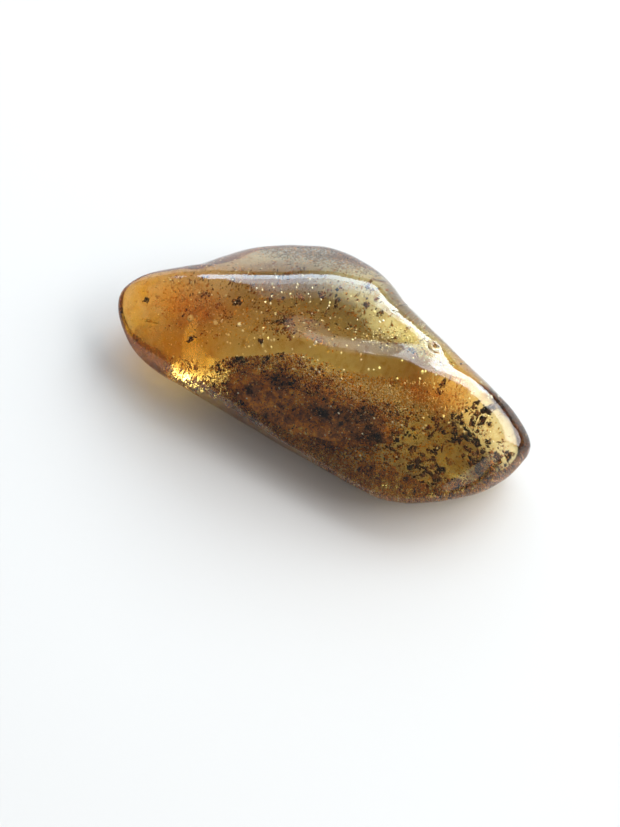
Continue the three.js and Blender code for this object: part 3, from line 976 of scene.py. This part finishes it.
def air_bubbles():
    """Flat air bubbles, a few larger and many tiny."""
    rng = np.random.default_rng(SEED + 1)
    heights = rng.uniform(*BUBBLE_HEIGHTS, len(BUBBLES))
    large = [
        (*(np.array(centre) + (height - MIDDLE_HEIGHT) * SHEET_LEAN), height)
        for (centre, _), height in zip(BUBBLES, heights)
    ]
    flat, tiny_heights = scattered(TINY_BUBBLES, rng)
    shifted = flat + (tiny_heights - MIDDLE_HEIGHT)[:, None] * SHEET_LEAN
    tiny = np.column_stack([shifted, tiny_heights])
    centres = np.concatenate([np.array(large), tiny])
    radii = np.concatenate([
        [radius for _, radius in BUBBLES], rng.uniform(*TINY_BUBBLES.grains, len(tiny)),
    ])
    deep = outside_stone(centres) < -radii - BUBBLE_COVER
    centres, radii = centres[deep], radii[deep]
    directions, faces = ball(BUBBLE_FINENESS)
    flattened = directions * np.array([1, 1, BUBBLE_THINNESS])
    turned = np.einsum("nij,kj->nki", glint_turns(len(centres), rng), flattened)
    points = centres[:, None] + turned * radii[:, None, None]
    steps = np.arange(len(centres))[:, None, None] * len(directions)
    material, tree = new_material("air_bubble")
    shader = tree.nodes["Principled BSDF"]
    shader.inputs["Roughness"].default_value = BUBBLE_ROUGHNESS
    shader.inputs["Metallic"].default_value = 1
    place = tree.nodes.new("ShaderNodeTexCoord")
    share = noise_share(tree, place, *BUBBLE_NOISE)
    pale = blend_colours(tree, share, BUBBLE_TINT, BUBBLE_RIM_TINT)
    tree.links.new(pale, shader.inputs["Base Color"])
    piece = mesh_piece(
        "air_bubbles", points.reshape(-1, 3), (faces[None] + steps).reshape(-1, 3),
        material,
    )
    piece.data.shade_smooth()


def floor():
    """The plain pale floor."""
    bpy.ops.mesh.primitive_plane_add(size=FLOOR_SIZE, location=(0, 0, -FLOOR_GAP))
    ground = bpy.context.object
    ground.name = "floor"
    material, tree = new_material("floor")
    shader = tree.nodes["Principled BSDF"]
    shader.inputs["Base Color"].default_value = FLOOR_COLOUR
    shader.inputs["Roughness"].default_value = FLOOR_ROUGHNESS
    shader.inputs["Specular IOR Level"].default_value = FLOOR_SPECULAR
    ground.data.materials.append(material)


def area_light(name, azimuth, elevation, size, radiance, colour):
    """A rectangle of light in the given direction, facing the pebble."""
    data = bpy.data.lights.new(name, "AREA")
    data.shape = "RECTANGLE"
    data.size, data.size_y = size
    data.energy = radiance * math.pi * size[0] * size[1]
    data.color = colour
    lamp = bpy.data.objects.new(name, data)
    a, e = math.radians(azimuth), math.radians(elevation)
    away = Vector((math.cos(a) * math.cos(e), math.sin(a) * math.cos(e), math.sin(e)))
    lamp.location = away * LIGHT_DISTANCE
    lamp.rotation_euler = away.to_track_quat("Z", "Y").to_euler()
    bpy.context.scene.collection.objects.link(lamp)


def lights():
    """The room's soft light and the window."""
    world = bpy.data.worlds.new("room")
    bpy.context.scene.world = world
    world.use_nodes = True
    background = world.node_tree.nodes["Background"]
    background.inputs["Color"].default_value = ROOM_COLOUR
    background.inputs["Strength"].default_value = ROOM_STRENGTH
    for light in LIGHTS:
        area_light(*light)


def camera():
    """The photograph's view."""
    data = bpy.data.cameras.new("camera")
    data.sensor_width = SENSOR_MM
    data.lens = FOCAL_PIXELS * SENSOR_MM / PHOTO_HEIGHT
    data.clip_start = CAMERA_NEAR_LIMIT
    view = bpy.data.objects.new("camera", data)
    a, e = math.radians(CAMERA_AZIMUTH), math.radians(CAMERA_ELEVATION)
    back = Vector((math.sin(a) * math.cos(e), -math.cos(a) * math.cos(e), math.sin(e)))
    view.location = (CAMERA_TARGET + back * CAMERA_DISTANCE) * MM
    view.rotation_euler = back.to_track_quat("Z", "Y").to_euler()
    bpy.context.scene.collection.objects.link(view)
    bpy.context.scene.camera = view


def render_look():
    """Plain colours, and enough bounces for clear amber."""
    scene = bpy.context.scene
    scene.view_settings.view_transform = "Standard"
    scene.cycles.max_bounces = MOST_BOUNCES
    scene.cycles.transmission_bounces = CLEAR_BOUNCES
    scene.cycles.diffuse_bounces = MATT_BOUNCES
    scene.cycles.glossy_bounces = GLOSS_BOUNCES


camera()
lights()
render_look()
floor()
amber_piece()
cloud_heart()
all_debris()
air_bubbles()
